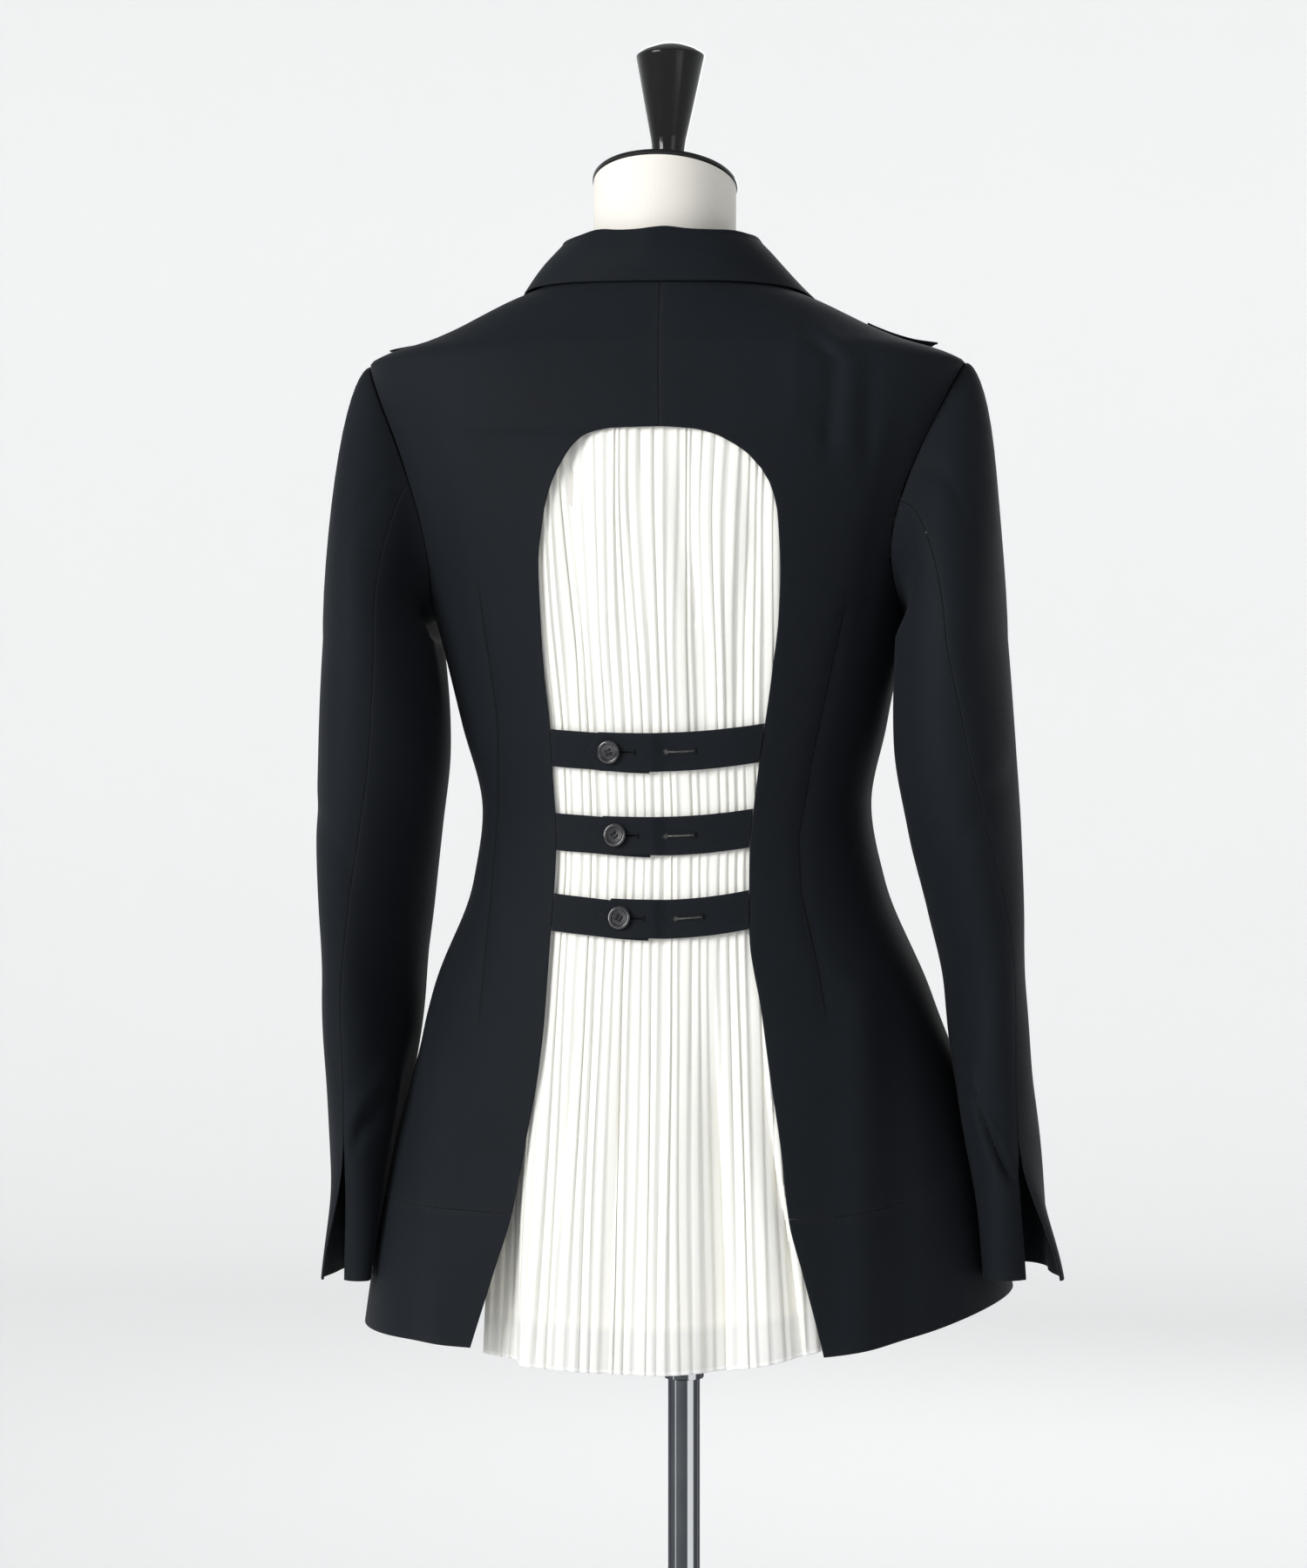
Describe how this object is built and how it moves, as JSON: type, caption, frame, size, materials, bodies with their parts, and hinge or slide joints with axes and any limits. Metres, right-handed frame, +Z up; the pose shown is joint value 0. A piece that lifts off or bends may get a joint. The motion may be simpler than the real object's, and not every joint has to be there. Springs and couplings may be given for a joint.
{
  "type": "pleated jacket on a dress form",
  "caption": "Fitted tailored jacket with an arched open back, buttoned back straps and a pleated panel, worn on a limbless dress form on a pole with a round base.",
  "frame": {"origin": "on the floor at the middle of the base, under the pole's axis", "axes": "+Z up; +Y to the garment's front, so its back faces -Y; +X to the wearer's right"},
  "size_m": [0.498, 0.36, 1.481],
  "materials": {
    "suiting": "matte blue-black fine wool suiting",
    "pleated_cloth": "soft ivory, sheer knife-pleated cloth",
    "underlay_cloth": "matte warm grey-white lining",
    "horn": "dark grey polished horn-like",
    "form_cloth": "smooth ivory cotton jersey",
    "black_lacquer": "high gloss black lacquer",
    "chrome": "polished"
  },
  "bodies": {
    "root": {"back_left": "suiting", "front_left": "suiting", "hem_band_left": "suiting", "lapel_left": "suiting", "shoulder_flap_left": "suiting", "top_sleeve_left": "suiting", "under_sleeve_left": "suiting", "back_right": "suiting", "front_right": "suiting", "hem_band_right": "suiting", "lapel_right": "suiting", "shoulder_flap_right": "suiting", "top_sleeve_right": "suiting", "under_sleeve_right": "suiting", "collar": "suiting", "pleated_panel": "pleated_cloth", "underlay": "underlay_cloth", "strap_under_1": "suiting", "strap_over_1": "suiting", "button_1": "horn", "strap_under_2": "suiting", "strap_over_2": "suiting", "button_2": "horn", "strap_under_3": "suiting", "strap_over_3": "suiting", "button_3": "horn", "front_button": "horn", "torso": "form_cloth", "neck_cap": "black_lacquer", "knob": "black_lacquer", "pole": "chrome", "base": "chrome"}
  },
  "joints": []
}
